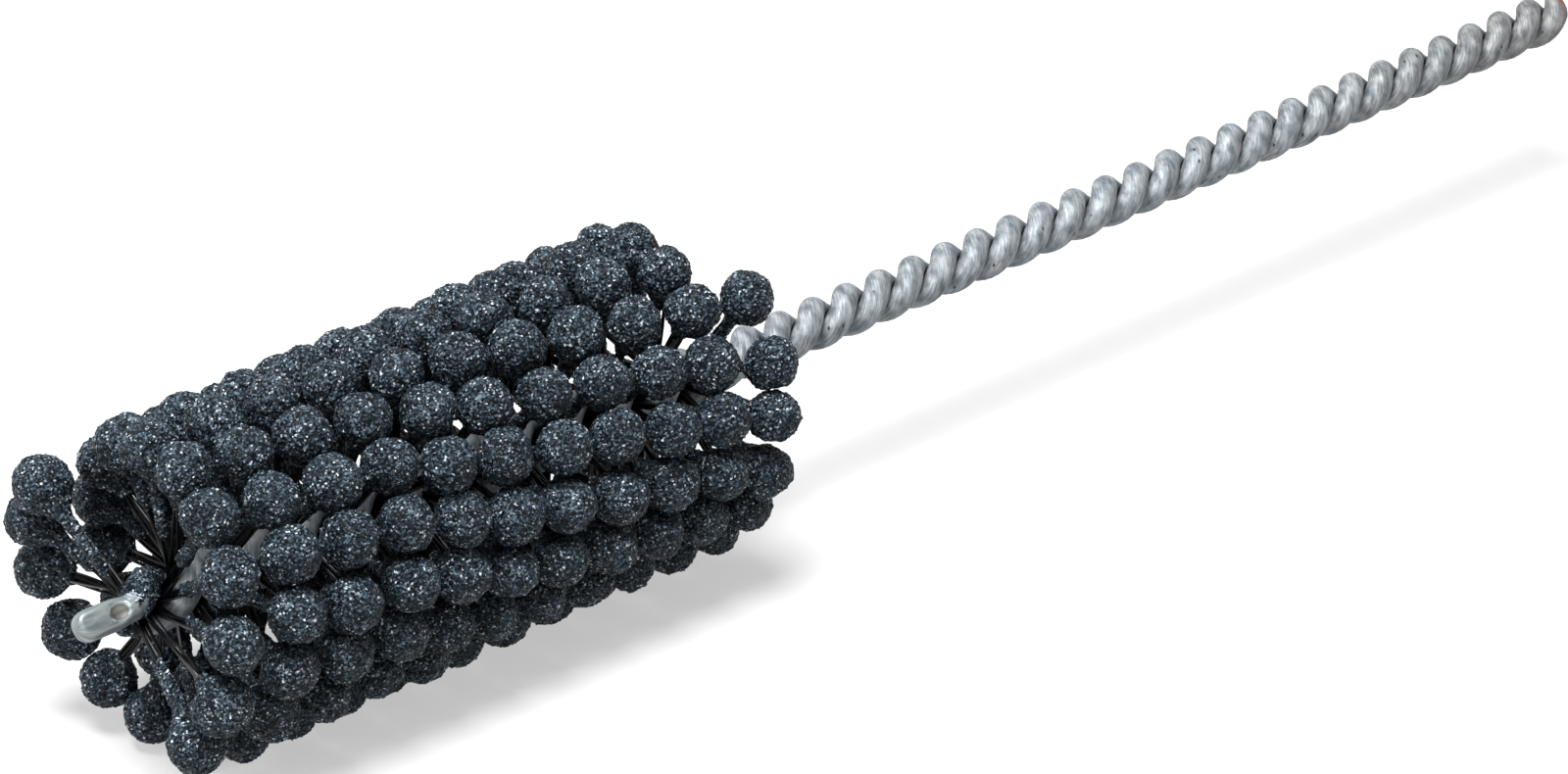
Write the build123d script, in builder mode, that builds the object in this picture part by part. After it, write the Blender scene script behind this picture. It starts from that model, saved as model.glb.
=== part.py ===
from build123d import *

import os
from math import acos, atan2, cos, hypot, pi, radians, sin

# A ball hone for small cylinders. Two wires are twisted together into a stem. At its working
# end they pinch tufts of nylon filament, and an abrasive globule is moulded on both ends of
# each tuft. Sizes are in millimetres and angles in degrees.
#
# The stem lies along X. The driven end, which goes into a chuck, is at x = 0, and the tip
# points towards -X. An angle is measured about +X, from +Y towards +Z. The twist is
# left-handed: the angle falls as x grows.

# Wire and stem
overall_length = 203.0
wire_diameter = 2.7
bare_lay = 9.11  # length of one full turn of the wires in the bare stem
wire_clearance = 0.02  # half of the gap between the two wires in the bare stem
tip_round = 1.0
twist_setback = 8.05  # from the tip of the long wire to the start of the twist
short_wire_setback = 6.0  # how far the short wire ends behind the tip of the long one
straighten_length = 1.7  # length over which a wire leaves the twist and becomes straight
settle_length = 4.0  # length over which the wires close up behind the last tuft
settle_turn = 181.534  # angle that the wires turn through while they close up

# Filament tufts
tuft_count = 87
tuft_pitch = 0.8136
tuft_turn = 21.9  # angle between one tuft and the next
first_tuft_setback = 7.974  # from the tip of the long wire to the first tuft
first_tuft_angle = 210.1
filament_diameter = 0.36
filament_spacing = 0.40
filament_clearance = 0.09  # between the filaments and the wires that pinch them
tufts_per_group = 5

# Abrasive globules
globule_diameter = 5.6
globule_circle_radius = 14.75  # from the stem's axis to the centre of a globule
neck_length = 4.2  # from the centre of a globule to the end of its neck
neck_diameter = 1.5

# Sizes that follow
wire_radius = wire_diameter / 2
globule_radius = globule_diameter / 2
neck_radius = neck_diameter / 2
layer_thickness = filament_spacing + filament_diameter
brush_wire_circle = wire_radius + layer_thickness / 2 + filament_clearance
bare_wire_circle = wire_radius + wire_clearance
filament_reach = globule_circle_radius - neck_length
brush_lay = tuft_pitch * 360 / tuft_turn
twist_start_x = twist_setback - overall_length
first_tuft_x = first_tuft_setback - overall_length
last_tuft_x = first_tuft_x + (tuft_count - 1) * tuft_pitch
settle_start_x = last_tuft_x + layer_thickness / 2 + filament_clearance
settle_end_x = settle_start_x + settle_length
end_allowance = bare_lay / 8  # the wires are made this much too long, then cut square

os.makedirs("parts", exist_ok=True)


def tuft_x(index):
    return first_tuft_x + index * tuft_pitch


def tuft_angle(index):
    return first_tuft_angle - index * tuft_turn


def brush_wire_angle(x, side):
    """Angle of a wire in the brush: a quarter turn from the tufts, on the given side."""
    return first_tuft_angle - 360 * (x - first_tuft_x) / brush_lay + side * 90


def bare_wire_angle(x, side):
    """Angle of a wire in the bare stem, which goes on from where the wires have closed up."""
    closed_up_angle = brush_wire_angle(settle_start_x, side) - settle_turn
    return closed_up_angle - 360 * (x - settle_end_x) / bare_lay


def section_plane(x, angle):
    """Plane across the stem at x, with its own X direction at the given angle."""
    outward = (0, cos(radians(angle)), sin(radians(angle)))
    return Plane(origin=(x, 0, 0), x_dir=outward, z_dir=(1, 0, 0))


def point_at(x, radius, angle):
    return Vector(x, radius * cos(radians(angle)), radius * sin(radians(angle)))


def twist_direction(radius, lay, angle):
    """Direction of a left-handed wire where it stands at the given angle."""
    slope = -2 * pi * radius / lay
    return Vector(1, -slope * sin(radians(angle)), slope * cos(radians(angle)))


def twisted_run(start_x, end_x, radius, lay, start_angle):
    turn = Helix(pitch=lay, height=end_x - start_x, radius=radius, lefthand=True, mode=Mode.PRIVATE)
    return section_plane(start_x, start_angle).location * turn


def settling_run(side):
    """The wire behind the last tuft, where the two wires close up and twist more tightly."""
    start_angle = brush_wire_angle(settle_start_x, side)
    end_angle = bare_wire_angle(settle_end_x, side)
    start_rate = -360 * settle_length / brush_lay
    end_rate = -360 * settle_length / bare_lay
    points = []
    steps = 4
    for step in range(steps + 1):
        t = step / steps
        rise = t * t * (3 - 2 * t)
        angle = start_angle + rise * (end_angle - start_angle)
        angle += t * (1 - t) * ((1 - t) * start_rate - t * end_rate)
        radius = brush_wire_circle + rise * (bare_wire_circle - brush_wire_circle)
        points.append(point_at(settle_start_x + t * settle_length, radius, angle))
    first = twist_direction(brush_wire_circle, brush_lay, start_angle)
    last = twist_direction(bare_wire_circle, bare_lay, end_angle)
    return Spline(*points, tangents=[first, last], mode=Mode.PRIVATE)


def wire_path(tip_x, side):
    """Centre line of one wire, from its tip to just past the driven end."""
    twist_start_angle = brush_wire_angle(twist_start_x, side)
    twist_start = point_at(twist_start_x, brush_wire_circle, twist_start_angle)
    leaving = twist_direction(brush_wire_circle, brush_lay, twist_start_angle)
    lead = straighten_length / 2
    straight_end = twist_start - leaving * lead - Vector(lead, 0, 0)
    straight_start = Vector(tip_x, straight_end.Y, straight_end.Z)
    bare_start_angle = bare_wire_angle(settle_end_x, side)
    with BuildLine() as path:
        Line(straight_start, straight_end)
        Spline(straight_end, twist_start, tangents=[(1, 0, 0), leaving])
        add(twisted_run(twist_start_x, settle_start_x, brush_wire_circle, brush_lay, twist_start_angle))
        add(settling_run(side))
        add(twisted_run(settle_end_x, end_allowance, bare_wire_circle, bare_lay, bare_start_angle))
    return path


def make_wire(name, setback, side):
    path = wire_path(setback - overall_length, side)
    with BuildPart() as wire:
        with BuildSketch(Plane(origin=path.line @ 0, z_dir=(1, 0, 0))):
            Circle(wire_radius)
        sweep(path=path.line)
        split(bisect_by=Plane.YZ, keep=Keep.BOTTOM)
        fillet(wire.edges().group_by(Axis.X)[0], tip_round)
    wire.part.label = name
    export_step(wire.part, f"parts/{name}.step")


def tuft_plane(index):
    """Plane whose normal points along a tuft, from the stem's axis outwards."""
    angle = radians(tuft_angle(index))
    return Plane(origin=(tuft_x(index), 0, 0), x_dir=(1, 0, 0), z_dir=(0, cos(angle), sin(angle)))


def make_tufts(name, indices):
    """Each tuft is a small square bundle of filaments that runs right through the stem."""
    with BuildPart() as tufts:
        for index in indices:
            with BuildSketch(tuft_plane(index)):
                with GridLocations(filament_spacing, filament_spacing, 2, 2):
                    Circle(filament_diameter / 2)
            extrude(amount=filament_reach, both=True)
    tufts.part.label = name
    export_step(tufts.part, f"parts/{name}.step")


def make_globule_shape():
    """A ball with a short neck that tapers towards the stem, for a tuft that points along +Z."""
    centre = globule_circle_radius
    corner_distance = hypot(neck_length, neck_radius)
    below_middle = atan2(neck_length, neck_radius) - acos(globule_radius / corner_distance)
    above_middle = (pi / 2 - below_middle) / 2
    shoulder = (globule_radius * cos(below_middle), centre - globule_radius * sin(below_middle))
    bulge = (globule_radius * cos(above_middle), centre + globule_radius * sin(above_middle))
    top = (0, centre + globule_radius)
    with BuildPart() as globule:
        with BuildSketch(Plane.XZ):
            with BuildLine():
                Polyline(top, (0, filament_reach), (neck_radius, filament_reach), shoulder)
                ThreePointArc(shoulder, bulge, top)
            make_face()
        revolve(axis=Axis.Z)
    return globule.part


def make_globules(name, indices, side, shape):
    """The globules on one end of each tuft: side 1 is its outward end and side -1 the other."""
    places = []
    for index in indices:
        tuft = tuft_plane(index)
        places.append(Plane(origin=tuft.origin, x_dir=tuft.x_dir, z_dir=tuft.z_dir * side))
    with BuildPart() as globules:
        with Locations(*places):
            add(shape)
    globules.part.label = name
    export_step(globules.part, f"parts/{name}.step")


# The two wires. The long one makes the bare rounded tip, and the short one ends behind it.
make_wire("long_stem_wire", 0, -1)
make_wire("short_stem_wire", short_wire_setback, 1)

# The tufts and globules stand in rows along two interleaved spirals, so neighbours in number
# are neighbours along a spiral. They are kept in groups from the tip to the driven end.
globule_shape = make_globule_shape()
for group, first in enumerate(range(0, tuft_count, tufts_per_group), start=1):
    indices = range(first, min(first + tufts_per_group, tuft_count))
    make_tufts(f"filament_tufts_{group:02d}", indices)
    make_globules(f"first_spiral_globules_{group:02d}", indices, 1, globule_shape)
    make_globules(f"second_spiral_globules_{group:02d}", indices, -1, globule_shape)
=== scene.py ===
# %% [markdown]
# # A ball hone
#
# This lesson dresses the solid model of a flexible ball hone: two wires twisted into a stem,
# tufts of black nylon filament pinched between them, and an abrasive globule on both ends of
# every tuft. The solid model is loaded first as a fixed frame. It says where everything is, and
# the pieces made here take the place of its plain solids.

# %% Load the frame
import math

import bmesh
import bpy
import numpy as np
from mathutils import Matrix, Vector


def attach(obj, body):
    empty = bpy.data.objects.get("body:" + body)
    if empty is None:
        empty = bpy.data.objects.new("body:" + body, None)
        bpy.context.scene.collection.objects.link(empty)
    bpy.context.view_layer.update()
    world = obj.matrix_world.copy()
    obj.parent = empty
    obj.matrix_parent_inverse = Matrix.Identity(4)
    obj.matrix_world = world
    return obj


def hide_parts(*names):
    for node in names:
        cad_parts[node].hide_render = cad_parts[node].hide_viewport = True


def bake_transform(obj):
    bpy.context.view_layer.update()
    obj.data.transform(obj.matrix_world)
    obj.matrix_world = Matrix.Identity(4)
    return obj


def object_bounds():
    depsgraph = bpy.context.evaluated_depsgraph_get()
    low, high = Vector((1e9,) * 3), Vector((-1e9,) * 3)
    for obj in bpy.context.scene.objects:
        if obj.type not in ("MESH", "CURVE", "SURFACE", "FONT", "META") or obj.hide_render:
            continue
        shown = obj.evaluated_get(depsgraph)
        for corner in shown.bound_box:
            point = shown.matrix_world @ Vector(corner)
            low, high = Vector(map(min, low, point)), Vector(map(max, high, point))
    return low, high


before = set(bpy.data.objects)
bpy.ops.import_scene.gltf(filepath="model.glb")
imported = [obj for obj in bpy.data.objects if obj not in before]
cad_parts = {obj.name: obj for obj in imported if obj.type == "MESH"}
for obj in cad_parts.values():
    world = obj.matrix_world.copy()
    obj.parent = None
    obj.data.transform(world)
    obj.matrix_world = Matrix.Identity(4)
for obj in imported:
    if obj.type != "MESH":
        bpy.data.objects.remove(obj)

cad_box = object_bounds()
MM = 0.001
print("nodes in the frame:", len(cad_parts))

# %% [markdown]
# ## Camera
#
# The photograph looks down on the hone from its tip, with a long lens, so the far end is only a
# little smaller than the near one. Its view was found by matching the places of the globules.
# The camera is level: it is turned about the vertical and tipped down, with no roll.

# %% Camera
camera_place = Vector((-0.5956, -0.5377, 0.3806))
camera_turn = math.radians(-41.95)
camera_dip = math.radians(28.12)
lens_length = 186.5  # millimetres, for a sensor 36 mm wide

camera_data = bpy.data.cameras.new("photo_camera")
camera_data.sensor_fit = "HORIZONTAL"
camera_data.sensor_width = 36.0
camera_data.lens = lens_length
camera_data.clip_start = 0.05
camera = bpy.data.objects.new("photo_camera", camera_data)
camera.location = camera_place
camera.rotation_euler = (math.radians(90) - camera_dip, 0, camera_turn)
bpy.context.collection.objects.link(camera)
bpy.context.scene.camera = camera
print("camera stands", round(camera_place.length, 3), "m from the stem's driven end")

# %% [markdown]
# ## Helpers for materials
#
# Every finish below is a node material. One function turns a written sRGB colour to the linear
# values that the shader wants, and one adds a node with its settings and links.

# %% Helpers for materials
def colour(hex_code):
    """Linear RGBA of an sRGB colour written as RRGGBB."""
    channels = [int(hex_code[i:i + 2], 16) / 255 for i in (0, 2, 4)]
    return [c / 12.92 if c <= 0.04045 else ((c + 0.055) / 1.055) ** 2.4 for c in channels] + [1.0]


def new_material(name):
    """Makes a material and returns it with its shader."""
    material = bpy.data.materials.new(name)
    material.use_nodes = True
    return material, material.node_tree.nodes["Principled BSDF"]


def add(tree, kind, settings=None, **inputs):
    """Adds a node. An input is a plain value, or another node's output to link from."""
    node = tree.nodes.new("ShaderNode" + kind)
    for key, value in (settings or {}).items():
        setattr(node, key, value)
    for key, value in inputs.items():
        socket = node.inputs[int(key[1:])] if key[1:].isdigit() else node.inputs[key.replace("_", " ")]
        if isinstance(value, bpy.types.NodeSocket):
            tree.links.new(value, socket)
        else:
            socket.default_value = value
    return node


def ramp(tree, factor, *stops):
    """A colour ramp through stops of (position, hex colour)."""
    node = add(tree, "ValToRGB", Fac=factor)
    while len(node.color_ramp.elements) < len(stops):
        node.color_ramp.elements.new(0.5)
    for element, (position, hex_code) in zip(node.color_ramp.elements, stops):
        element.position = position
        element.color = colour(hex_code)
    return node.outputs["Color"]


print("the grey 808080 in linear light:", round(colour("808080")[0], 3))

# %% [markdown]
# ## Floor
#
# The hone lies on a plain white floor. Lamps strong enough to make it white would bleach the
# hone, so its white comes from a glow that Light Path shows to the camera, also in a reflection
# or through glass, but that lights nothing else. Near the hone the glow is just enough to make the
# lit floor white, and leaves the hone's shadow a soft grey. Further out, where the lamps don't
# reach, it is stronger.

# %% Floor
hone_middle = Vector((-0.1, 0, 0))
floor_half = 1.5
floor_height = cad_box[0].z - 0.2 * MM
floor_mesh = bpy.data.meshes.new("floor")
shape = bmesh.new()
bmesh.ops.create_grid(shape, x_segments=1, y_segments=1, size=floor_half)
bmesh.ops.translate(shape, verts=shape.verts, vec=(hone_middle.x, 0, floor_height))
shape.to_mesh(floor_mesh)
shape.free()
floor = bpy.data.objects.new("floor", floor_mesh)
bpy.context.collection.objects.link(floor)


def seen_directly(tree):
    """1 where the camera looks, also in a reflection or through glass, and 0 for other light."""
    path = add(tree, "LightPath")
    seen = path.outputs["Is Camera Ray"]
    for kind in ("Is Glossy Ray", "Is Transmission Ray"):
        seen = add(tree, "Math", {"operation": "MAXIMUM"}, _0=seen, _1=path.outputs[kind]).outputs[0]
    return seen


white_card, surface = new_material("white_card")
surface.inputs["Base Color"].default_value = colour("b0b0b0")
surface.inputs["Roughness"].default_value = 0.9
tree = white_card.node_tree
away = add(tree, "VectorMath", {"operation": "DISTANCE"}, _0=add(tree, "TexCoord").outputs["Object"],
           _1=hone_middle)
near_to_far = add(tree, "MapRange", Value=away.outputs["Value"], From_Min=0.2, From_Max=0.7,
                  To_Min=0.5, To_Max=1.0)
glow = add(tree, "Emission", Color=colour("ffffff"), Strength=near_to_far.outputs["Result"])
both = add(tree, "AddShader", _0=surface.outputs["BSDF"], _1=glow.outputs["Emission"])
mixed = add(tree, "MixShader", Fac=seen_directly(tree), _1=surface.outputs["BSDF"],
            _2=both.outputs["Shader"])
output = next(node for node in tree.nodes if node.type == "OUTPUT_MATERIAL")
tree.links.new(mixed.outputs["Shader"], output.inputs["Surface"])
floor_mesh.materials.append(white_card)
print("floor at", round(floor_height / MM, 2), "mm")

# %% [markdown]
# ## World and lamps
#
# The light is plain and soft: one large soft lamp above and a weaker one at the camera's left,
# with the world filling in. Small lamps would draw hard shadows between the globules. The world
# is white where the camera sees it, and weak as a light.

# %% World and lamps
world = bpy.data.worlds.new("white_room")
world.use_nodes = True
bpy.context.scene.world = world
room = world.node_tree
strength = add(room, "MapRange", Value=seen_directly(room), To_Min=0.09, To_Max=1.0)
room.links.new(strength.outputs["Result"], room.nodes["Background"].inputs["Strength"])
room.nodes["Background"].inputs["Color"].default_value = colour("ffffff")


def soft_lamp(name, place, aim, size, power):
    """A round lamp at a place, turned towards its aim. The size is its width."""
    lamp = bpy.data.lights.new(name, "AREA")
    lamp.shape = "DISK"
    lamp.size = size
    lamp.energy = power
    holder = bpy.data.objects.new(name, lamp)
    holder.location = place
    holder.rotation_euler = (Vector(aim) - Vector(place)).to_track_quat("-Z", "Y").to_euler()
    bpy.context.collection.objects.link(holder)


brush_middle = (-0.16, 0, 0)
soft_lamp("lamp_above", (-0.33, -0.05, 0.95), brush_middle, 0.6, 19.0)
soft_lamp("lamp_left", (-0.9, -0.1, 0.45), brush_middle, 0.5, 2.4)
bpy.context.scene.view_settings.view_transform = "Standard"
print("lamps:", len(bpy.data.lights))

# %% [markdown]
# ## The lay-out of the hone
#
# These are the hone's own sizes, in millimetres and degrees, as in the solid model. The tufts
# stand 0.81 mm apart along the stem and each is turned 21.9 degrees from the last, so the
# globules on their ends make two interleaved left-handed spirals. Places along the stem are
# counted from the driven end, and the tip points to -X.

# %% Lay-out
overall_length = 203.0


def from_tip(distance):
    """Place along the stem at a distance behind the long wire's tip."""
    return distance - overall_length


tuft_count = 87
tuft_pitch = 0.8136
tuft_turn = 21.9
first_tuft_x = from_tip(7.974)
first_tuft_angle = 210.1
globule_diameter = 5.6
globule_circle_radius = 14.75
neck_length = 4.2
neck_radius = 0.75
wire_radius = 1.35
brush_span = (tuft_count - 1) * tuft_pitch


def outward(index, side):
    """Unit vector along a tuft, away from the stem, as if it stood straight."""
    angle = math.radians(first_tuft_angle - index * tuft_turn)
    return Vector((0, math.cos(angle), math.sin(angle))) * side


print("tufts stand over", round(brush_span, 1), "mm of the stem")

# %% [markdown]
# ## Lean of the tufts
#
# On the real hone the tufts don't stand quite straight. The first few, which have no neighbours to
# hold them, lean out towards the tip and against the twist. A third of the way along, the rows
# sag round the stem. At the other end four tufts lean a little on one side, each by its own
# amount. Every globule could be moved by itself, but then its filaments would miss it. So each
# tuft gets its lean here, as a frame that its filaments and globules are made in.

# %% Lean of the tufts
tip_lean = Vector((-1.8, 2.5))   # of the first tuft's globules: along the stem, and round it
tip_reach = 3.0                  # the lean falls off over so many tufts
sag = Vector((0.5, -1.05))
sag_middle = 27                  # the tuft that sags most
sag_reach = 8.7
# By tuft and side: how far single globules stand off at the rear.
rear_leans = {(86, 1): (-0.1, -0.4), (85, 1): (-0.1, 0.9), (84, 1): (-0.1, 0.5), (83, 1): (0, 1.0)}
drift = Vector((0.1, 0))         # of every tuft
jitter_size = 0.13               # of each globule by itself
rng = np.random.default_rng(29)
jitter = rng.normal(size=(tuft_count, 2, 2)) * jitter_size


def lean(index, side):
    """How far a globule stands from its regular place: (along the stem, round it)."""
    shift = drift + tip_lean * math.exp(-(index / tip_reach) ** 2)
    shift += sag * math.exp(-((index - sag_middle) / sag_reach) ** 2)
    shift += Vector(rear_leans.get((index, side), (0, 0)))
    shift += Vector(jitter[index, (side + 1) // 2])
    return shift


def tuft_frame(index, side):
    """Matrix that takes +Z to the tuft's own direction and the origin to its foot on the axis."""
    straight = outward(index, side)
    along = Vector((1, 0, 0))
    shift = lean(index, side)
    up = straight * globule_circle_radius + along * shift[0] + along.cross(straight) * shift[1]
    up.normalize()
    across = up.cross(along).normalized()
    matrix = Matrix((across.cross(up), across, up)).transposed().to_4x4()
    matrix.translation = along * (first_tuft_x + index * tuft_pitch)
    return matrix


print("first globule stands off by", [round(value, 2) for value in lean(0, 1)], "mm")

# %% [markdown]
# ## Finish of the globules: silicon carbide grit in resin
#
# Silicon carbide is a dark blue-grey crystal with flat glassy faces. Broken to grit and bound in
# dark resin, most grains look nearly black, some grey, and a few turn a face to the light and
# flash. A picture of grit wrapped round a ball would show a seam and repeat itself. So the cells
# of a random pattern stand for the grains, and each draws its own colour, gloss and height. The
# palest of these colours are painted glints, for the few grains that flash. A slow noise darkens
# patches where resin covers the grit.

# %% Grit material
grain_size = 0.19  # millimetres between grains, as in 80 grit
grains_per_metre = 1 / (grain_size * MM)

grit, surface = new_material("silicon_carbide_grit")
tree = grit.node_tree
place = add(tree, "TexCoord").outputs["Object"]
grains = add(tree, "TexVoronoi", Vector=place, Scale=grains_per_metre)
draw = add(tree, "SeparateColor", Color=grains.outputs["Color"])
patches = add(tree, "TexNoise", Vector=place, Scale=grains_per_metre / 9, Detail=3.0)
# Painted glints: the last, near-white stop colours a few grains as if they flashed in the light.
grain_tone_and_glints = ramp(tree, draw.outputs[0], (0.0, "020406"), (0.34, "091117"), (0.58, "242f38"),
            (0.8, "4a5863"), (0.95, "72818c"), (0.993, "e6eef4"))
darker = add(tree, "Mix", {"data_type": "RGBA", "blend_type": "MULTIPLY"}, _0=1.0, _6=grain_tone_and_glints,
             _7=ramp(tree, patches.outputs["Fac"], (0.35, "a9b0b6"), (0.62, "ffffff")))
tree.links.new(darker.outputs[2], surface.inputs["Base Color"])
gloss = add(tree, "MapRange", Value=draw.outputs[1], To_Min=0.22, To_Max=0.75)
tree.links.new(gloss.outputs["Result"], surface.inputs["Roughness"])
surface.inputs["IOR"].default_value = 1.5
surface.inputs["Specular IOR Level"].default_value = 0.12
facets = add(tree, "Bump", Height=draw.outputs[2], Strength=0.8, Distance=0.08 * MM)
tree.links.new(facets.outputs["Normal"], surface.inputs["Normal"])

dusty, surface = new_material("dry_silicon_carbide_dust")
tree = dusty.node_tree
speckle = add(tree, "TexNoise", Vector=add(tree, "TexCoord").outputs["Object"], Scale=grains_per_metre,
              Detail=2.0)
tree.links.new(ramp(tree, speckle.outputs["Fac"], (0.35, "4a555d"), (0.5, "93a0a8"), (0.65, "dfe6ea")),
               surface.inputs["Base Color"])
surface.inputs["Roughness"].default_value = 0.55
print("materials", grit.name, dusty.name)

# %% [markdown]
# ## Globules
#
# On the real hone each globule is built up by dipping the end of a tuft, so it is a slightly
# lumpy ball with a neck that runs down the filaments. A smooth ball with a rough finish would
# keep a smooth outline, so the shape itself is rough. It starts as an icosphere, whose faces are
# all about as large as one grain. The inward part is drawn out to the neck, slow waves make it
# lumpy, and a small random push on every vertex gives the broken face of the grit. Flat shading
# keeps each facet, as a smooth one would look like rubber.

# %% Shape of a globule
ball_fineness = 5
size_spread = (1.0, 1.06)
rear_shrink = 0.07       # how much smaller the last globules are than the first
shoulder = 0.52          # where the neck starts, as a share of the radius below the middle
depth_curve = 1.15       # above 1, the neck's points crowd near the shoulder
taper_curve = 1.7        # above 1, the neck is hollow in outline
closing_share = 0.06     # the last share of the way down the neck, where its end closes
broad_lumps = (10, 2.2, 5.5, 0.38)     # how many waves, their range, and their height
fine_lumps = (14, 9, 18, 0.22)
grit_height = 0.055


def neck_profile(directions, radius, neck_reach):
    """Places of a ball's points, whose part nearest the stem is drawn out to a tapering neck."""
    inward = -directions[:, 2]
    across = np.sqrt(np.clip(1 - inward ** 2, 0, 1))
    t = np.clip((inward - shoulder) / (1 - shoulder), 0, 1)
    depth = radius * shoulder + t ** depth_curve * (neck_reach - radius * shoulder)
    width = neck_radius + (radius * np.sqrt(1 - shoulder ** 2) - neck_radius) * (1 - t) ** taper_curve
    width *= np.clip((1 - t) / closing_share, 0, 1)
    points = directions * radius
    drawn = t > 0
    on_axis = 1e-6
    scale = np.where(across > on_axis, width / np.maximum(across, on_axis), 0)
    points[drawn, 0] = directions[drawn, 0] * scale[drawn]
    points[drawn, 1] = directions[drawn, 1] * scale[drawn]
    points[drawn, 2] = -depth[drawn]
    return points


def add_globule(shape, index, side):
    """Adds the globule on one end of a tuft."""
    made = bmesh.ops.create_icosphere(shape, subdivisions=ball_fineness, radius=1.0)["verts"]
    directions = np.array([vertex.co for vertex in made])
    radius = globule_diameter / 2 * rng.uniform(*size_spread) * (1 - rear_shrink * index / tuft_count)
    points = neck_profile(directions, radius, neck_length)
    push = rng.normal(size=len(made)) * grit_height
    for count, slowest, fastest, height in (broad_lumps, fine_lumps):
        for _ in range(count):
            wave = rng.normal(size=3)
            wave *= rng.uniform(slowest, fastest) / np.linalg.norm(wave)
            push += np.sin(directions @ wave + rng.uniform(0, 2 * math.pi)) * height / count
    points += directions * push[:, None]
    points[:, 2] += globule_circle_radius
    matrix = tuft_frame(index, side)
    for vertex, point in zip(made, points):
        vertex.co = matrix @ Vector(point)


print("the first globules are", [round(globule_diameter * share, 1) for share in size_spread],
      "mm across")

# %% [markdown]
# ## Groups of globules
#
# Neighbours along a spiral are kept in one piece, in the same groups as in the solid model, so
# that each piece takes the place of one of its nodes. Every piece is drawn in millimetres, which
# are easier to read, and turned to metres when it is finished.

# %% Groups of globules
tufts_per_group = 5


def finish_piece(name, shape, *materials, smooth=False):
    """Turns millimetres to metres and makes the piece's object at the origin."""
    bmesh.ops.scale(shape, vec=(MM, MM, MM), verts=shape.verts)
    mesh = bpy.data.meshes.new(name)
    shape.to_mesh(mesh)
    shape.free()
    for material in materials:
        mesh.materials.append(material)
    if smooth:
        mesh.shade_smooth()
    piece = bpy.data.objects.new(name, mesh)
    bpy.context.collection.objects.link(piece)
    return piece


group_starts = range(0, tuft_count, tufts_per_group)
for spiral, side in (("first", 1), ("second", -1)):
    for group, start in enumerate(group_starts, start=1):
        shape = bmesh.new()
        for index in range(start, min(start + tufts_per_group, tuft_count)):
            add_globule(shape, index, side)
        piece = finish_piece(f"{spiral}_spiral_grit_{group:02d}", shape, grit)
        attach(piece, "globules")
        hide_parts(f"{spiral}_spiral_globules_{group:02d}")
print("globules:", 2 * tuft_count)

# %% [markdown]
# ## Finish of the filaments: extruded nylon
#
# Black nylon monofilament is smooth and glossy. Fine dust from the grit dulls most filaments, and
# they show as black lines. A few stayed clean, more of them at the tip, and show a thin bright
# streak. One finish can't be both, so there are two, and each filament draws one of them.

# %% Nylon material
nylon, surface = new_material("black_nylon_monofilament")
tree = nylon.node_tree
place = add(tree, "TexCoord").outputs["Object"]
dust = add(tree, "TexNoise", Vector=place, Scale=1 / (1.2 * MM), Detail=4.0)
tree.links.new(ramp(tree, dust.outputs["Fac"], (0.5, "010203"), (0.75, "090d10")),
               surface.inputs["Base Color"])
dull = add(tree, "MapRange", Value=dust.outputs["Fac"], From_Min=0.45, From_Max=0.75, To_Min=0.16,
           To_Max=0.5)
tree.links.new(dull.outputs["Result"], surface.inputs["Roughness"])
surface.inputs["IOR"].default_value = 1.53
surface.inputs["Specular IOR Level"].default_value = 0.08

clean_nylon, surface = new_material("clean_black_nylon")
surface.inputs["Base Color"].default_value = colour("030405")
surface.inputs["Roughness"].default_value = 0.28
surface.inputs["IOR"].default_value = 1.53
surface.inputs["Specular IOR Level"].default_value = 0.9
print("materials", nylon.name, clean_nylon.name)

# %% [markdown]
# ## Filaments
#
# A tuft is a small bundle of filaments. It is flat where the wires pinch it and round where it
# enters the globule. A filament could be a curve with a thickness. Here it is a thin rod cut
# across several times, so that its rings can be moved onto a slightly bowed line.

# %% One filament
filament_diameter = 0.33
filament_sides = 6
filament_cuts = 7
filament_end = globule_circle_radius - neck_length + 0.5
clean_index = 1          # of the clean finish, second after the dusty one


def filament_blank():
    """A straight rod of unit length along +Z, with rings to bend it by."""
    blank = bmesh.new()
    bmesh.ops.create_cone(blank, cap_ends=False, segments=filament_sides, depth=1.0,
                          radius1=filament_diameter / 2, radius2=filament_diameter / 2)
    bmesh.ops.translate(blank, verts=blank.verts, vec=(0, 0, 0.5))
    upright = [edge for edge in blank.edges if abs(edge.verts[0].co.z - edge.verts[1].co.z) > 0.5]
    bmesh.ops.subdivide_edges(blank, edges=upright, cuts=filament_cuts)
    mesh = bpy.data.meshes.new("filament_blank")
    blank.to_mesh(mesh)
    blank.free()
    return mesh


blank_mesh = filament_blank()


def add_filament(shape, matrix, root, tip, bow, share):
    """Bends one blank from the root to the tip, both as (along the stem, across it).

    The share is that of the filaments that are clean.
    """
    known, known_faces = len(shape.verts), len(shape.faces)
    shape.from_mesh(blank_mesh)
    shape.faces.ensure_lookup_table()
    if rng.uniform() < share:
        for face in shape.faces[known_faces:]:
            face.material_index = clean_index
    shape.verts.ensure_lookup_table()
    for vertex in shape.verts[known:]:
        t = vertex.co.z
        ease = t * t * (3 - 2 * t)
        arch = 4 * t * (1 - t)
        centre_x = root[0] + (tip[0] - root[0]) * ease + bow[0] * arch
        centre_y = root[1] + (tip[1] - root[1]) * ease + bow[1] * arch
        vertex.co = matrix @ Vector((vertex.co.x + centre_x, vertex.co.y + centre_y, t * filament_end))


print("rings on a filament:", filament_cuts + 2)

# %% [markdown]
# ## Sectors of filaments
#
# The filaments bend when the globules lag behind the stem, and such a bend follows one direction
# only. A piece for each end of every tuft would make 174 pieces, so each piece holds the filaments
# of one sector of the brush, which point nearly the same way.

# %% Sectors of filaments
sector_count = 16
filament_nodes = [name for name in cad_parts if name.startswith("filament_tufts_")]


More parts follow.
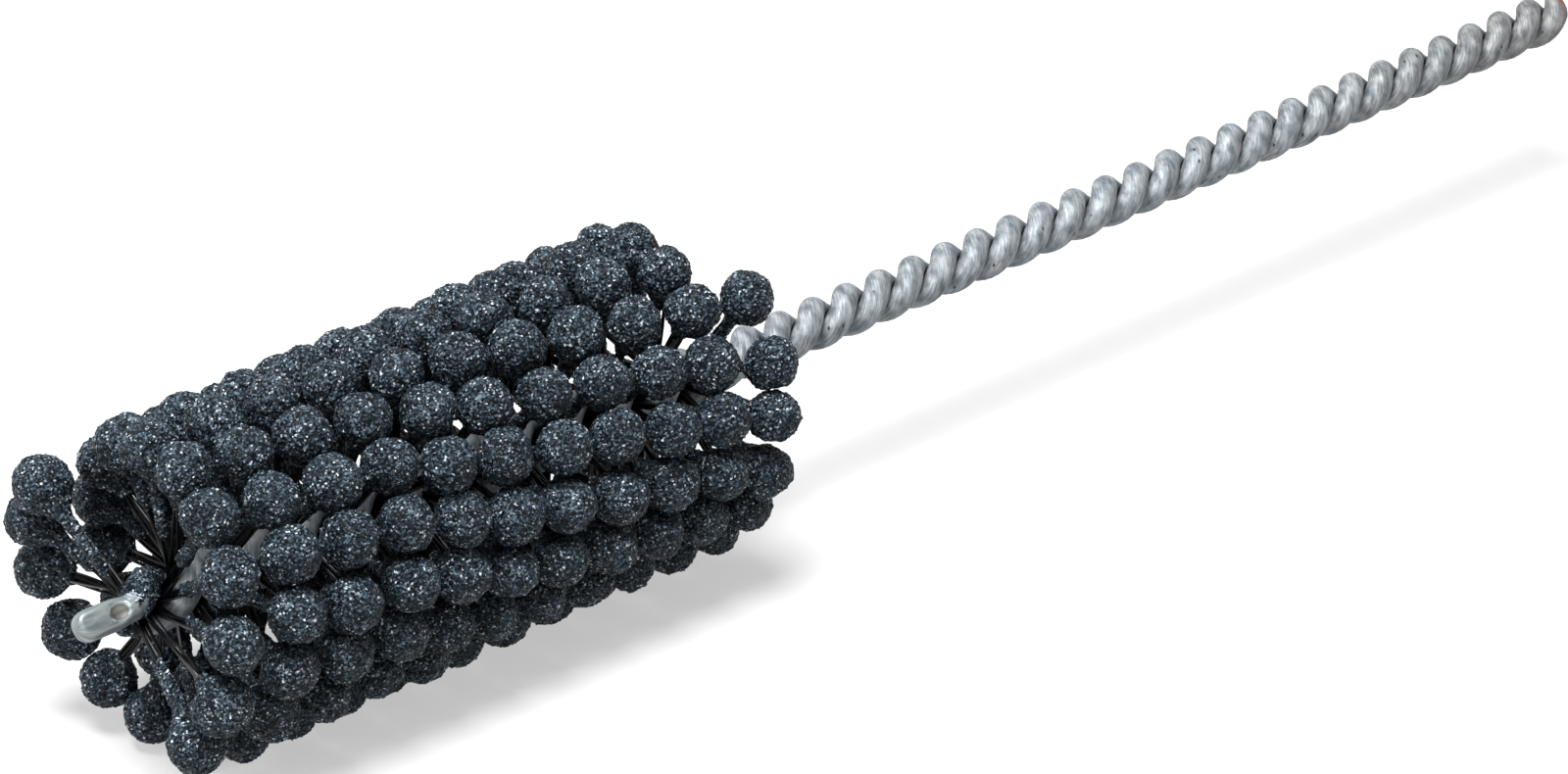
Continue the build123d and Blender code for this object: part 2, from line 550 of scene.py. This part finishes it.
def sector_of(index, side):
    """The number of the sector that one end of a tuft points into."""
    direction = outward(index, side)
    heading = math.degrees(math.atan2(direction.z, direction.y)) % 360
    return round(heading / (360 / sector_count)) % sector_count


def finish_sector(piece):
    """Bakes a sector's piece into place and hides the filament nodes of the solid model."""
    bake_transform(piece)
    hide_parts(*filament_nodes)


filaments_per_tuft = 8
columns = filaments_per_tuft // 2
clean_share = 0.12
clean_share_at_tip = 0.45
tufts_at_tip = 4
root_width = 0.66
root_layer = 0.40
bundle_radius = 0.56
least_reach = 0.35       # of that radius, for a filament's end
turn_spread = 0.3        # in radians
tuft_sway = 0.15         # how far a tuft bows, and how much its filaments differ from it
filament_sway = 0.12
sectors = [bmesh.new() for _ in range(sector_count)]
for index in range(tuft_count):
    for side in (1, -1):
        sector = sector_of(index, side)
        matrix = tuft_frame(index, side)
        sway = rng.normal(size=2) * tuft_sway
        share = clean_share_at_tip if index < tufts_at_tip else clean_share
        for number in range(filaments_per_tuft):
            column, row = divmod(number, 2)
            root = ((column / (columns - 1) - 0.5) * root_width, (row - 0.5) * root_layer)
            turn = 2 * math.pi * number / filaments_per_tuft + rng.uniform(-turn_spread, turn_spread)
            reach = bundle_radius * rng.uniform(least_reach, 1.0)
            tip = (math.cos(turn) * reach, math.sin(turn) * reach)
            bow = sway + rng.normal(size=2) * filament_sway
            add_filament(sectors[sector], matrix, root, tip, bow, share)

for sector, shape in enumerate(sectors):
    piece = finish_piece(f"filaments_sector_{sector + 1:02d}", shape, nylon, clean_nylon, smooth=True)
    finish_sector(piece)
print("filaments:", 2 * tuft_count * filaments_per_tuft)

# %% [markdown]
# ## Grit that runs down the tufts
#
# When the tufts are dipped, the grit doesn't always stop at the neck. On some tufts it runs far
# down the filaments as an uneven sleeve. It could be built up from small lumps, but one grid
# rolled up to a rod, with a random push on every vertex, is lighter and leaves no gaps. A sleeve
# bends with its filaments, so it is grouped in the same sectors and finished as they are.

# %% A grid rolled up to a rod
same_place = 1e-5                       # points closer together than this are merged


def rolled_grid(shape, points):
    """Rolls a grid up to a rod, from an array of places [ring, step round the ring, xyz].

    The last step of a ring lies on its first, and merging the two closes the rod. A ring whose
    places all coincide closes an end. The UV map keeps (ring, step) as fractions.
    """
    rings, steps = points.shape[0] - 1, points.shape[1] - 1
    grid = bmesh.ops.create_grid(shape, x_segments=rings, y_segments=steps, size=0.5, calc_uvs=True)
    for vertex in grid["verts"]:
        ring = round((vertex.co.x + 0.5) * rings)
        step = round((vertex.co.y + 0.5) * steps)
        vertex.co = points[ring, step]
    bmesh.ops.remove_doubles(shape, verts=grid["verts"], dist=same_place)


def smooth_step(value):
    """Rises gently from 0 to 1 while the value does."""
    value = np.clip(value, 0, 1)
    return value * value * (3 - 2 * value)


print("half way a smooth step is at", smooth_step(0.5))

# %% Sleeves of grit
sleeve_share = 0.4
long_sleeves = {(0, -1): 3.4, (0, 1): 5.0, (3, 1): 5.5, (6, -1): 4.5}   # inner ends, from the axis
nearest_end, end_spread = 4.5, 5.0      # of the other sleeves
sleeve_outer_end = globule_circle_radius - neck_length + 0.6
sleeve_rings = 30
sleeve_steps = 14
sleeve_width, sleeve_bulge = 0.96, 0.1  # as shares of the neck's radius
sleeve_oval = 0.14                      # how far it is from round
ragged_share = 0.16                     # share of its length with a ragged edge


def add_sleeve(shape, index, side, inner_end):
    """A sleeve that is uneven at its inner end and even where it enters the globule."""
    t = np.linspace(0, 1, sleeve_rings + 1)[:, None]
    turn = np.linspace(0, 2 * math.pi, sleeve_steps + 1)[None, :]
    bulge = sleeve_bulge * np.sin(9 * t + rng.uniform(0, 6)) * (1 - t)
    width = neck_radius * (sleeve_width + bulge)
    width = width + sleeve_oval * np.sin(2 * turn + 7 * t + rng.uniform(0, 6)) * (1 - t)
    width = width + rng.normal(size=width.shape) * grit_height
    width[:, -1] = width[:, 0]
    ragged = 1 - smooth_step((ragged_share - t + 0.05 * np.sin(3 * turn)) / ragged_share)
    width = width * ragged * (t < 1)
    along = inner_end + t * (sleeve_outer_end - inner_end)
    points = np.stack([width * np.cos(turn), width * np.sin(turn), along + 0 * turn], axis=-1)
    matrix = np.array(tuft_frame(index, side))
    rolled_grid(shape, points @ matrix[:3, :3].T + matrix[:3, 3])


sleeves = [bmesh.new() for _ in range(sector_count)]
made_sleeves = 0
for index in range(tuft_count):
    for side in (1, -1):
        draw = rng.uniform(size=2)
        if (index, side) in long_sleeves or draw[0] < sleeve_share:
            inner_end = long_sleeves.get((index, side), nearest_end + end_spread * draw[1])
            add_sleeve(sleeves[sector_of(index, side)], index, side, inner_end)
            made_sleeves += 1
for sector, shape in enumerate(sleeves):
    if shape.verts:
        piece = finish_piece(f"grit_sleeves_sector_{sector + 1:02d}", shape, grit)
        finish_sector(piece)
print("sleeves:", made_sleeves)

# %% [markdown]
# ## Finish of the wires: zinc-coated steel
#
# The wire is drawn, coated with zinc, and twisted. The zinc has dulled to a soft grey with fine
# streaks along the wire, dark where dirt lies in them. A pattern drawn in space would run
# straight across the twist. The streaks have to follow the wire, so they are drawn in its own UV
# map, whose units are millimetres along the wire and round it. Hands and the chuck have dulled it
# towards the driven end. That end is cut through the coating, and the steel there has rusted
# brown.

# %% Wire material
zinc, surface = new_material("zinc_coated_steel")
tree = zinc.node_tree
place = add(tree, "TexCoord")
stretched = add(tree, "Mapping", Vector=place.outputs["UV"], Scale=(0.7, 4.5, 1.0))
streaks = add(tree, "TexNoise", Vector=stretched.outputs["Vector"], Scale=1.0, Detail=6.0,
              Roughness=0.75)
cloud = add(tree, "TexNoise", Vector=place.outputs["UV"], Scale=0.8, Detail=4.0)
pits = add(tree, "TexVoronoi", Vector=place.outputs["UV"], Scale=0.55)
grey = ramp(tree, streaks.outputs["Fac"], (0.3, "4b5256"), (0.42, "828a8f"),
            (0.52, "9aa0a4"), (0.62, "b2b6b9"), (0.72, "d0d3d5"))
soiled = add(tree, "Mix", {"data_type": "RGBA", "blend_type": "MULTIPLY"}, _0=1.0, _6=grey,
             _7=ramp(tree, cloud.outputs["Fac"], (0.35, "a3a9ae"), (0.62, "ffffff")))
off_pit = add(tree, "MapRange", Value=pits.outputs["Distance"], From_Min=0.06, From_Max=0.12)
pitted = add(tree, "Mix", {"data_type": "RGBA"}, _0=off_pit.outputs[0], _6=colour("24292c"),
             _7=soiled.outputs[2])
# Painted shade: the sides of the wire that face the other one, down in the groove where the two meet,
# are darkened in the colour.
round_place = add(tree, "SeparateXYZ", Vector=place.outputs["UV"])
from_outside = add(tree, "Math", {"operation": "SUBTRACT"}, _0=round_place.outputs["Y"],
                   _1=math.pi * wire_radius)
off_middle = add(tree, "Math", {"operation": "ABSOLUTE"}, _0=from_outside.outputs[0])
painted_groove_shade = add(tree, "MapRange", Value=off_middle.outputs[0], From_Min=2.75, From_Max=3.15, To_Max=0.92)
groove_shaded = add(tree, "Mix", {"data_type": "RGBA"}, _0=painted_groove_shade.outputs[0], _6=pitted.outputs[2],
            _7=colour("2b2f31"))
ends = add(tree, "SeparateXYZ", Vector=place.outputs["Object"])
used = add(tree, "MapRange", Value=ends.outputs["X"], From_Min=-45 * MM, From_Max=-5 * MM)
handled = add(tree, "Mix", {"data_type": "RGBA", "blend_type": "MULTIPLY"}, _0=used.outputs[0],
              _6=groove_shaded.outputs[2], _7=colour("ebe3dd"))
edge_noise = add(tree, "Math", {"operation": "MULTIPLY_ADD"}, _0=cloud.outputs["Fac"], _1=-1.6 * MM,
                 _2=ends.outputs["X"])
rusty = add(tree, "MapRange", Value=edge_noise.outputs[0], From_Min=-1.6 * MM, From_Max=-0.9 * MM)
rusted = add(tree, "Mix", {"data_type": "RGBA"}, _0=rusty.outputs[0], _6=handled.outputs[2],
             _7=colour("6b4638"))
tree.links.new(rusted.outputs[2], surface.inputs["Base Color"])
surface.inputs["Metallic"].default_value = 0.3
dull = add(tree, "MapRange", Value=streaks.outputs["Fac"], From_Min=0.3, From_Max=0.7, To_Min=0.68,
           To_Max=0.52)
tree.links.new(dull.outputs["Result"], surface.inputs["Roughness"])
grooves = add(tree, "Bump", Height=streaks.outputs["Fac"], Strength=0.6, Distance=0.03 * MM)
tree.links.new(grooves.outputs["Normal"], surface.inputs["Normal"])

rust, surface = new_material("rusted_cut_steel")
tree = rust.node_tree
place = add(tree, "TexCoord").outputs["Object"]
bloom = add(tree, "TexNoise", Vector=place, Scale=1 / (0.5 * MM), Detail=5.0)
tree.links.new(ramp(tree, bloom.outputs["Fac"], (0.35, "3a2a24"), (0.5, "6d4a3a"), (0.65, "8c8783")),
               surface.inputs["Base Color"])
surface.inputs["Roughness"].default_value = 0.7
surface.inputs["Metallic"].default_value = 0.3
print("materials", zinc.name, rust.name)

# %% [markdown]
# ## The path of the wires
#
# Both wires wind round the stem's axis. In the brush they stand apart, with the filaments
# between them. Behind the last tuft they close up and twist more tightly. At the tip each wire
# leaves the twist and runs straight. The path could be a curve object. Here it is a function of
# the place along the stem, so that the wires, the crust and the crumbs can all be put on it.

# %% Wire path
bare_lay = 9.11
driven_end_angle = 117.3          # of the long wire
brush_lay = tuft_pitch * 360 / tuft_turn
brush_wire_circle = 1.82
bare_wire_circle = 1.37
tuft_half_gap = 0.47              # from the last tuft's middle to where the wires close up
twist_start_x = from_tip(8.05)
straighten_length = 1.7
settle_start_x = first_tuft_x + brush_span + tuft_half_gap
settle_length = 4.0
settle_end_x = settle_start_x + settle_length


def brush_angle(x, side):
    """Angle of a wire in the brush: a quarter turn from the tufts."""
    return first_tuft_angle - 360 * (x - first_tuft_x) / brush_lay + side * 90


def bare_angle(x, side):
    """Angle of a wire in the bare stem."""
    return driven_end_angle - 360 * x / bare_lay + (0 if side < 0 else 180)


def settling_place(x, side):
    """Radius and angle of a wire where the two close up behind the brush."""
    start = brush_angle(settle_start_x, side)
    end = bare_angle(settle_end_x, side)
    # Whole turns are left out, so that the wire turns about as much as in the bare stem.
    end -= 360 * round((end - start + 360 * settle_length / bare_lay) / 360)
    t = (x - settle_start_x) / settle_length
    rise = t * t * (3 - 2 * t)
    # The bend gives both ends the rate of twist of the runs that they join.
    bend = t * (1 - t) * (t * settle_length / bare_lay - (1 - t) * settle_length / brush_lay)
    radius = brush_wire_circle + rise * (bare_wire_circle - brush_wire_circle)
    return radius, start + rise * (end - start) + 360 * bend


def wire_point(x, side):
    """Centre of a wire at a place along the stem: side -1 is the long wire and 1 the short one."""
    if x >= settle_end_x:
        radius, angle = bare_wire_circle, bare_angle(x, side)
    elif x >= settle_start_x:
        radius, angle = settling_place(x, side)
    else:
        radius, angle = brush_wire_circle, brush_angle(max(x, twist_start_x), side)
    point = Vector((0, math.cos(math.radians(angle)), math.sin(math.radians(angle)))) * radius
    if x < twist_start_x:
        sweep = Vector((0, point.z, -point.y)) * (2 * math.pi / brush_lay)
        t = max(0, 1 - (twist_start_x - x) / straighten_length)
        point += sweep * (t * t - 1) * straighten_length / 2
    point.x = x
    return point


def path_frames(places, side):
    """Centres, outward and sideways directions of a wire at places along the stem."""
    centres = np.array([wire_point(x, side) for x in places])
    step = 0.01
    ahead = np.array([wire_point(x + step, side) for x in places])
    behind = np.array([wire_point(x - step, side) for x in places])
    tangents = ahead - behind
    tangents /= np.linalg.norm(tangents, axis=1, keepdims=True)
    out = centres * (0, 1, 1)
    out -= tangents * (out * tangents).sum(axis=1, keepdims=True)
    out /= np.linalg.norm(out, axis=1, keepdims=True)
    return centres, out, np.cross(tangents, out)


print("the twist settles from", round(settle_start_x, 1), "to", round(settle_end_x, 1), "mm")

# %% [markdown]
# ## Finish of the pressed tip
#
# The jaws that held the long wire while the stem was twisted rubbed its tip smooth. One of them
# left an oval dent. Dirt stays in the dent and makes it a little browner, and its colour darkens
# where the dent's wall starts. A bright ring on the rim is a painted highlight. These marks could
# be painted on, but as a ramp over the distance from the dent's middle they stay where the dent is.

# %% Pressed tip material
flat_half_thickness = 1.04
mark_x = from_tip(4.65)
mark_half_length = 1.1
mark_half_width = 0.8

pressed_zinc, surface = new_material("pressed_zinc")
tree = pressed_zinc.node_tree
place = add(tree, "TexCoord")
stretched = add(tree, "Mapping", Vector=place.outputs["UV"], Scale=(0.3, 3.0, 1.0))
lines = add(tree, "TexNoise", Vector=stretched.outputs["Vector"], Scale=1.0, Detail=5.0)
metal = ramp(tree, lines.outputs["Fac"], (0.35, "768183"), (0.5, "959ea0"), (0.65, "b4babb"))
mark_centres, mark_out, _ = path_frames(np.array([mark_x]), -1)
mark_place = Vector(mark_centres[0] + mark_out[0] * flat_half_thickness) * MM
from_mark = add(tree, "VectorMath", {"operation": "SUBTRACT"}, _0=place.outputs["Object"], _1=mark_place)
in_mark = add(tree, "VectorMath", {"operation": "DIVIDE"}, _0=from_mark.outputs["Vector"],
              _1=Vector((mark_half_length, mark_half_width, mark_half_width)) * MM)
reach = add(tree, "VectorMath", {"operation": "LENGTH"}, _0=in_mark.outputs["Vector"])
from_middle = add(tree, "MapRange", Value=reach.outputs["Value"], From_Max=1.5)
# Painted highlight: the white stop puts a bright ring in the colour on the dent's rim. Inside it the
# dent is browner with dirt, and darker where its wall starts.
dent_stain_and_rim_highlight = ramp(tree, from_middle.outputs["Result"], (0.4, "b5aaa0"), (0.6, "8c8a88"), (0.68, "ffffff"),
            (0.76, "f4f5f5"), (0.88, "dcddde"))
metal_with_dent_marks = add(tree, "Mix", {"data_type": "RGBA", "blend_type": "MULTIPLY"}, _0=1.0, _6=metal, _7=dent_stain_and_rim_highlight)
tree.links.new(metal_with_dent_marks.outputs[2], surface.inputs["Base Color"])
surface.inputs["Metallic"].default_value = 0.4
surface.inputs["Roughness"].default_value = 0.4
print("material", pressed_zinc.name)

# %% [markdown]
# ## Wires
#
# The long wire's tip was pressed flat in the jaws that held it while the stem was twisted: it is
# wider than it is thick, its end is rounded, and one jaw left an oval dent. A curve with a round
# bevel can't be pressed flat at one end, so each wire is a grid rolled up round its path.

# %% Surface of a wire
steps_round = 28
rounding_rings = 14                   # on the rounded end
tip_ring_spacing = 0.10               # over the first millimetres
tip_span = 10
ring_spacing = 0.36                   # on the rest of the wire
end_allowance = bare_lay / 8          # the wires are made this much too long, then cut square
flat_half_width = 1.56
flat_end_x = from_tip(6.2)            # where the pressed part has gone over into the round wire
flat_fade = 1.8
plan_rounding = 1.5
edge_rounding = 0.55
squareness = 0.42                     # of the pressed section: 0 is an oval
mark_depth = 0.24
mark_rim, mark_slope = 1.2, 0.4       # where the dent starts, and how soon it is full deep


def rounding(distance, length):
    """Share of the full width that a rounded end has at a distance from its tip."""
    return np.sqrt(1 - (1 - np.clip(distance / length, 0, 1)) ** 2)


def wire_section(places, side, tip_x):
    """Half width and half thickness of the wire, and how square its section is."""
    pressed = smooth_step((flat_end_x - places) / flat_fade) if side < 0 else np.zeros(len(places))
    wide = wire_radius + pressed * (flat_half_width - wire_radius)
    thick = wire_radius + pressed * (flat_half_thickness - wire_radius)
    wide *= rounding(places - tip_x, plan_rounding)
    thick *= rounding(places - tip_x, edge_rounding if side < 0 else plan_rounding)
    return wide, thick, pressed


def ring_places(tip_x):
    """Places along the stem for the rings of a wire, closest together on its rounded end."""
    near = np.arange(0, 1, 1 / rounding_rings) ** 2 * plan_rounding
    middle = np.arange(plan_rounding, tip_span, tip_ring_spacing)
    far = np.arange(tip_span, end_allowance - tip_x, ring_spacing)
    return tip_x + np.concatenate([near, middle, far])


def wire_surface(places, side, tip_x):
    """Places of a wire's surface, for rolled_grid, and of its centre line."""
    centres, out, sideways = path_frames(places, side)
    wide, thick, pressed = wire_section(places, side, tip_x)
    turns = np.linspace(0, 2 * math.pi, steps_round + 1)
    # The seam, where the turn is 0, faces the other wire.
    across, along_out = np.sin(turns), -np.cos(turns)
    power = 1 - squareness * pressed[:, None]
    y = np.sign(across) * np.abs(across) ** power * wide[:, None]
    z = np.sign(along_out) * np.abs(along_out) ** power * thick[:, None]
    if side < 0:
        reach = ((places - mark_x) / mark_half_length)[:, None] ** 2 + (y / mark_half_width) ** 2
        z = z - mark_depth * smooth_step((mark_rim - reach) / mark_slope) * (z > 0)
    points = centres[:, None] + out[:, None] * z[..., None] + sideways[:, None] * y[..., None]
    return points, centres


print("rings on the long wire:", len(ring_places(-overall_length)))

# %% [markdown]
# ## Two wires, cut square
#
# The driven end is cut square through both wires. So each is made a little too long, cut by a
# plane, and closed with a flat face that gets the rusted finish. The long wire's tip gets the
# pressed one, and the rest the zinc one.

# %% Wires
rubbed_end_x = mark_x + mark_half_length + 0.3
pattern_shift = 50                    # keeps the pattern of one wire from repeating on the other
short_tip_x = from_tip(6.9)
cut_index, pressed_index = 1, 2


def cut_square(shape):
    """Cuts a wire off at the driven end, closes the cut and returns its faces."""
    bmesh.ops.bisect_plane(shape, geom=shape.verts[:] + shape.edges[:] + shape.faces[:],
                           dist=same_place, plane_co=(0, 0, 0), plane_no=(1, 0, 0), clear_outer=True)
    rim = [edge for edge in shape.edges if edge.is_boundary]
    cut = bmesh.ops.contextual_create(shape, geom=rim)["faces"]
    for face in cut:
        face.material_index = cut_index
    return cut


def add_wire(name, side, tip_x):
    """Makes one wire. Its name is that of the node that it takes the place of, and its coat."""
    places = ring_places(tip_x)
    points, centres = wire_surface(places, side, tip_x)
    shape = bmesh.new()
    uv = shape.loops.layers.uv.new("along_and_round")
    rolled_grid(shape, points)
    lengths = np.concatenate([[0], np.cumsum(np.linalg.norm(np.diff(centres, axis=0), axis=1))])
    for face in shape.faces:
        for loop in face.loops:
            ring = loop[uv].uv.x * (len(places) - 1)
            round_wire = loop[uv].uv.y * 2 * math.pi * wire_radius
            loop[uv].uv = (lengths[round(ring)] + side * pattern_shift, round_wire)
        if side < 0 and face.calc_center_median().x < rubbed_end_x:
            face.material_index = pressed_index
    cut = cut_square(shape)
    bmesh.ops.recalc_face_normals(shape, faces=shape.faces)
    for face in shape.faces:
        face.smooth = face not in cut
    piece = finish_piece(name, shape, zinc, rust, pressed_zinc)
    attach(piece, "stem")
    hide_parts(name.replace("_zinc", ""))
    print(name, len(piece.data.polygons), "faces, cut faces", len(cut))


add_wire("long_stem_wire_zinc", -1, -overall_length)
add_wire("short_stem_wire_zinc", 1, short_tip_x)

# %% [markdown]
# ## Grit on the wires
#
# Grit that was still wet has also run onto the stem. It coats the long wire's bend at the tip
# and the short wire's end. The coat could be the wire's own surface with the grit's finish, but
# it has a thickness and a ragged edge. So it is a second, rougher grid rolled round the same
# path, whose edges dip under the wire's surface.

# %% Crust
crusts = {-1: (from_tip(6.5), from_tip(11.4)), 1: (from_tip(6.6), from_tip(9.5))}
crust_thickness = 0.27
crust_rings = 64
crust_steps = 44


def add_crust(shape, side):
    """A rough shell round a wire's bend, whose edges dip under the wire's surface."""
    places = np.linspace(*crusts[side], crust_rings + 1)
    centres, out, sideways = path_frames(places, side)
    turns = np.linspace(0, 2 * math.pi, crust_steps + 1)[None, :]
    t = np.linspace(0, 1, crust_rings + 1)[:, None]
    waves = np.sin(3 * turns + 2) + np.sin(2 * turns - 9 * t) + np.sin(5 * turns + 14 * t)
    # It thins out over the first 0.3 and the last 0.25 of its length, along wavy lines, and its
    # edges lie half its thickness under the wire's surface.
    cover = smooth_step((t + 0.05 * waves) / 0.3) * smooth_step((1 - t + 0.04 * waves) / 0.25)
    radius = wire_radius + crust_thickness * (1.5 * cover - 0.5) + 0.05 * waves * cover
    radius = radius + rng.normal(size=radius.shape) * grit_height
    radius[:, -1] = radius[:, 0]
    radius[[0, -1]] = 0
    points = (centres[:, None] + out[:, None] * (radius * np.cos(turns))[..., None]
              + sideways[:, None] * (radius * np.sin(turns))[..., None])
    rolled_grid(shape, points)


shape = bmesh.new()
for side in crusts:
    add_crust(shape, side)
print("faces of the crust:", len(shape.faces))

# %% [markdown]
# ## Crumbs and pale grains
#
# Crumbs of grit stick to the wires between the tufts, more of them near the tip. A few grains at
# the edge of the coat, beside the jaw mark, got no resin and stayed pale. They could be put in
# their places one by one, but they are small and mostly hidden, so they are drawn at random.

# %% Crumbs
crumb_count = 22
crumb_radii = (0.25, 0.55)
crumb_turns = (0.9, 1.5)         # from the wire's outer side, in radians
crumb_crowding = 1.6             # above 1, more of the crumbs are near the tip
crumb_stretch = (0.7, 1.3)       # along each axis
crumb_lumps, crumb_roughness = 0.2, 0.07
pale_count = 26
pale_radii = (0.1, 0.22)
pale_middle, pale_spread = from_tip(7.1), 0.35
pale_turn, pale_turn_spread = -0.5, 0.4


def add_crumb(shape, place, side, turn, radius, fineness=3):
    """A small lump of grit that sits on a wire's surface."""
    centres, out, sideways = path_frames(np.array([place]), side)
    foot = centres[0] + (out[0] * math.cos(turn) + sideways[0] * math.sin(turn)) * wire_radius
    made = bmesh.ops.create_icosphere(shape, subdivisions=fineness, radius=1.0)["verts"]
    stretch = rng.uniform(*crumb_stretch, size=3)
    for vertex in made:
        push = 1 + crumb_lumps * math.sin(3 * vertex.co.x + 5 * vertex.co.y + place)
        push += rng.normal() * crumb_roughness
        vertex.co = Vector(foot + np.array(vertex.co) * stretch * radius * push)


for number in range(crumb_count):
    share = (number + rng.uniform()) / crumb_count
    turn = rng.choice((-1, 1)) * rng.uniform(*crumb_turns)
    place = first_tuft_x + brush_span * share ** crumb_crowding
    add_crumb(shape, place, rng.choice((-1, 1)), turn, rng.uniform(*crumb_radii))
pale_grains = bmesh.new()
for _ in range(pale_count):
    place = pale_middle + rng.normal() * pale_spread
    turn = rng.normal(pale_turn, pale_turn_spread)
    add_crumb(pale_grains, place, -1, turn, rng.uniform(*pale_radii), fineness=1)
for name, lumps, material in (("grit_on_wires", shape, grit), ("pale_grit_on_tip", pale_grains, dusty)):
    bmesh.ops.recalc_face_normals(lumps, faces=lumps.faces)
    piece = finish_piece(name, lumps, material)
    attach(piece, "stem")
    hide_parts("long_stem_wire")
print("crumbs:", crumb_count, "and pale grains:", pale_count)
